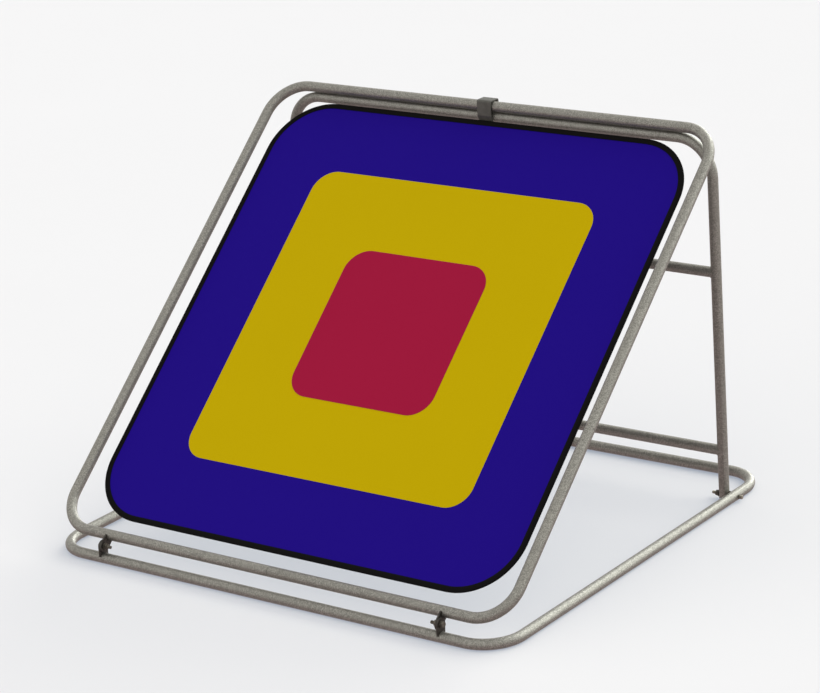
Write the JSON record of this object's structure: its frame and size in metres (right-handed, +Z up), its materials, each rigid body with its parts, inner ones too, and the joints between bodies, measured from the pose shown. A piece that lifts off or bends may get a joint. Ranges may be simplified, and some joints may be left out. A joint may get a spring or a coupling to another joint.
{
  "type": "folding floor stand with square sign",
  "caption": "Folding tubular floor stand: a base ring, a hinged leaning front frame and an upright leg frame carry a square sign of nested blue, yellow and red squares.",
  "frame": {"origin": "on the floor, under the middle of the stand's bounding box", "axes": "+X to the sign's right as seen from the front, along the front bar; +Y back, away from the reader; +Z up"},
  "size_m": [1.3248, 1.1597, 0.9271],
  "materials": {
    "galvanised_tube": "dull hot-dip galvanised, fine grey spangle",
    "hinge_steel": "dark weathered zinc",
    "zinc_fastener": "dull zinc plate",
    "strap_steel": "dull grey-brown galvanised strip",
    "rail_aluminium": "mill finish extrusion",
    "blue_sheet": "deep blue film on sheet, satin",
    "yellow_film": "retroreflective yellow film, satin",
    "red_film": "retroreflective red film, satin",
    "black_edging": "black push-on edge trim, matt"
  },
  "bodies": {
    "base": {"base_frame": "galvanised_tube", "base_frame_sleeve": "galvanised_tube", "hinge_lug_lower_left": "hinge_steel", "hinge_lug_lower_right": "hinge_steel", "hinge_bolt_left": "zinc_fastener", "hinge_bolt_right": "zinc_fastener", "hinge_washer_outer_left": "hinge_steel", "hinge_washer_outer_right": "hinge_steel", "hinge_washer_inner_left": "hinge_steel", "hinge_washer_inner_right": "hinge_steel", "hinge_nut_left": "hinge_steel", "hinge_nut_right": "hinge_steel", "leg_bolt_left": "zinc_fastener", "leg_bolt_right": "zinc_fastener", "leg_washer_outer_left": "hinge_steel", "leg_washer_outer_right": "hinge_steel", "leg_spacer_left": "hinge_steel", "leg_spacer_right": "hinge_steel", "leg_washer_inner_left": "hinge_steel", "leg_washer_inner_right": "hinge_steel", "leg_nut_left": "hinge_steel", "leg_nut_right": "hinge_steel"},
    "front_frame": {"front_frame": "galvanised_tube", "front_frame_sleeve": "galvanised_tube", "hinge_lug_upper_left": "hinge_steel", "hinge_lug_upper_right": "hinge_steel"},
    "leg": {"leg_frame": "galvanised_tube", "leg_crossbar_lower": "galvanised_tube", "leg_crossbar_upper": "galvanised_tube"},
    "sign": {"sign_panel": "blue_sheet", "edge_trim": "black_edging", "sign_yellow_square": "yellow_film", "sign_red_square": "red_film", "sign_rail_lower": "rail_aluminium", "sign_rail_upper": "rail_aluminium", "hanger_strap": "strap_steel", "hanger_stud_upper": "zinc_fastener", "hanger_stud_lower": "zinc_fastener", "hanger_nut_upper": "hinge_steel", "hanger_nut_lower": "hinge_steel"}
  },
  "joints": [
    {"name": "front_frame_fold", "type": "hinge", "parent": "base", "child": "front_frame", "pos_m": [0, -0.56463, 0.04281], "axis": [1, 0, 0], "range_deg": [0, 70]},
    {"name": "leg_fold", "type": "hinge", "parent": "base", "child": "leg", "pos_m": [0, 0.42673, 0.0127], "axis": [1, 0, 0], "range_deg": [0, 38.5]},
    {"name": "sign_swing", "type": "hinge", "parent": "front_frame", "child": "sign", "pos_m": [0, 0.42295, 0.9098], "axis": [-1, 0, 0], "range_deg": [0, 60]}
  ],
  "couplings": [
    {"joint": "leg_fold", "follows": "front_frame_fold", "ratio": 0.55}
  ]
}
